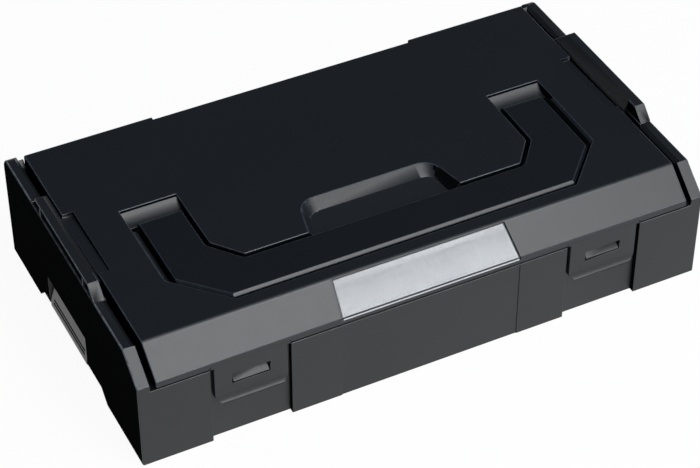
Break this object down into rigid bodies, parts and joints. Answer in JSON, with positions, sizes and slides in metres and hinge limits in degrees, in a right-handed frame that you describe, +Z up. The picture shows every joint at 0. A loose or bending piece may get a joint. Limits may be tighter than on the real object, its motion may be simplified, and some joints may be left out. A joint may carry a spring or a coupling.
{
  "type": "compartment storage box",
  "caption": "Flat black carry box with a hinged lid, fold-flat handle, front latches, label window, end clips for stacking and loose bins inside for small parts.",
  "frame": {"origin": "on the ground under the middle of the box", "axes": "+X along the box to the right seen from the front, +Y to the rear where the lid's hinge is, +Z up"},
  "size_m": [0.26, 0.1486, 0.0586],
  "materials": {
    "tray_plastic": "fine-grained black ABS",
    "lid_plastic": "fine-grained black ABS",
    "handle_plastic": "fine-grained black ABS",
    "latch_plastic": "fine-grained black ABS",
    "clip_plastic": "smooth black plastic",
    "bin_plastic": "grey moulded plastic",
    "label_card": "silver-white card",
    "label_window": "clear plastic",
    "pin_steel": "plain steel",
    "pin_black": "blackened steel"
  },
  "bodies": {
    "base": {"base_tray": "tray_plastic", "hinge_pin_left": "pin_steel", "hinge_pin_right": "pin_steel", "clip_pin_left": "pin_black", "clip_pin_right": "pin_black", "small_bin_1": "bin_plastic", "small_bin_2": "bin_plastic", "small_bin_3": "bin_plastic", "small_bin_4": "bin_plastic", "medium_bin_left": "bin_plastic", "medium_bin_right": "bin_plastic", "long_bin": "bin_plastic"},
    "lid": {"lid": "lid_plastic", "handle_pin_left": "pin_black", "handle_pin_right": "pin_black", "label_card": "label_card", "label_window": "label_window"},
    "handle": {"carry_handle": "handle_plastic"},
    "latch_left": {"latch_left": "latch_plastic"},
    "latch_right": {"latch_right": "latch_plastic"},
    "clip_left": {"stack_clip_left": "clip_plastic"},
    "clip_right": {"stack_clip_right": "clip_plastic"}
  },
  "joints": [
    {"name": "lid_hinge", "type": "hinge", "parent": "base", "child": "lid", "pos_m": [0, 0.0708, 0.044], "axis": [-1, 0, 0], "range_deg": [0, 105]},
    {"name": "handle_fold", "type": "hinge", "parent": "lid", "child": "handle", "pos_m": [0, 0.0042, 0.0508], "axis": [-1, 0, 0], "range_deg": [0, 90]},
    {"name": "latch_left_flex", "type": "hinge", "parent": "lid", "child": "latch_left", "pos_m": [-0.0812, -0.07195, 0.0406], "axis": [-1, 0, 0], "range_deg": [0, 13], "stiffness_Nm_per_rad": 0.1},
    {"name": "latch_right_flex", "type": "hinge", "parent": "lid", "child": "latch_right", "pos_m": [0.0812, -0.07195, 0.0406], "axis": [-1, 0, 0], "range_deg": [0, 13], "stiffness_Nm_per_rad": 0.1},
    {"name": "clip_left_swing", "type": "hinge", "parent": "base", "child": "clip_left", "pos_m": [-0.12615, 0.0065, 0.0186], "axis": [0, 1, 0], "range_deg": [0, 25], "stiffness_Nm_per_rad": 0.05},
    {"name": "clip_right_swing", "type": "hinge", "parent": "base", "child": "clip_right", "pos_m": [0.12615, 0.0065, 0.0186], "axis": [0, -1, 0], "range_deg": [0, 25], "stiffness_Nm_per_rad": 0.05}
  ]
}
